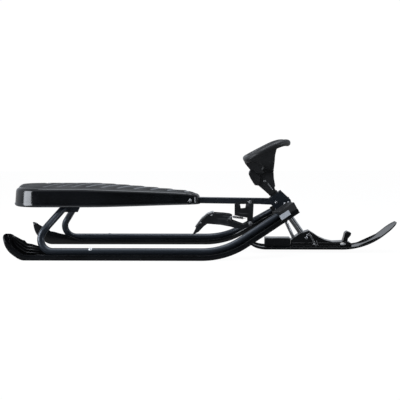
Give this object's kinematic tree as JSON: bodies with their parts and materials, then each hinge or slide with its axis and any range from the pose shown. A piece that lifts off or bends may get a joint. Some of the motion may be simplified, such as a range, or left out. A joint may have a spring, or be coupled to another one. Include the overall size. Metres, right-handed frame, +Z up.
{
  "type": "two-seat snow racer sled",
  "caption": "Two-seat steerable snow sled: moulded seat on a tubular frame with two rear runners, a wheel-steered front ski and a foot brake.",
  "frame": {"origin": "on the ground, in the middle of the sled's length and width", "axes": "+X forwards along the sled, +Y to the rider's left, +Z up"},
  "size_m": [1.38, 0.462, 0.4079],
  "materials": {
    "frame_paint": "dark blue-grey metallic paint",
    "gloss_plastic": "glossy black moulded plastic",
    "matte_plastic": "matte black moulded plastic",
    "black_steel": "black painted steel",
    "chrome": "bright plated steel",
    "zinc_steel": "zinc plated steel"
  },
  "bodies": {
    "frame": {"top_tube": "frame_paint", "left_frame_tube": "frame_paint", "right_frame_tube": "frame_paint", "rear_cross_plate": "frame_paint", "front_yoke": "frame_paint", "head_tube": "frame_paint", "head_hood": "frame_paint", "left_head_cheek": "frame_paint", "right_head_cheek": "frame_paint", "left_runner": "gloss_plastic", "right_runner": "gloss_plastic", "seat": "gloss_plastic", "rear_seat_block": "matte_plastic", "front_seat_block": "matte_plastic", "left_front_cap": "matte_plastic", "right_front_cap": "matte_plastic", "brake_hanger": "black_steel", "brake_hub": "black_steel", "brake_shaft": "black_steel"},
    "steering": {"steering_wheel": "matte_plastic", "rear_cover": "matte_plastic", "column_cover": "matte_plastic", "column_bush": "matte_plastic", "steering_shaft": "chrome", "shaft_collar": "zinc_steel", "fork_plate": "zinc_steel", "brace_rod": "chrome", "front_ski": "gloss_plastic", "ski_holder": "gloss_plastic", "holder_pin": "zinc_steel", "tow_reel_box": "gloss_plastic", "tow_knob": "gloss_plastic"},
    "brake": {"left_brake_claw": "black_steel", "right_brake_claw": "black_steel", "brake_strip": "zinc_steel", "pedal_bar": "black_steel"}
  },
  "joints": [
    {"name": "steering", "type": "hinge", "parent": "frame", "child": "steering", "pos_m": [0.3095, 0, 0.121], "axis": [-0.5736, 0, 0.8192], "range_deg": [-30, 30]},
    {"name": "foot_brake", "type": "hinge", "parent": "frame", "child": "brake", "pos_m": [0.16, 0, 0.104], "axis": [0, 1, 0], "range_deg": [-22, 0], "stiffness_Nm_per_rad": 1.5, "springref_deg": 20.05}
  ]
}
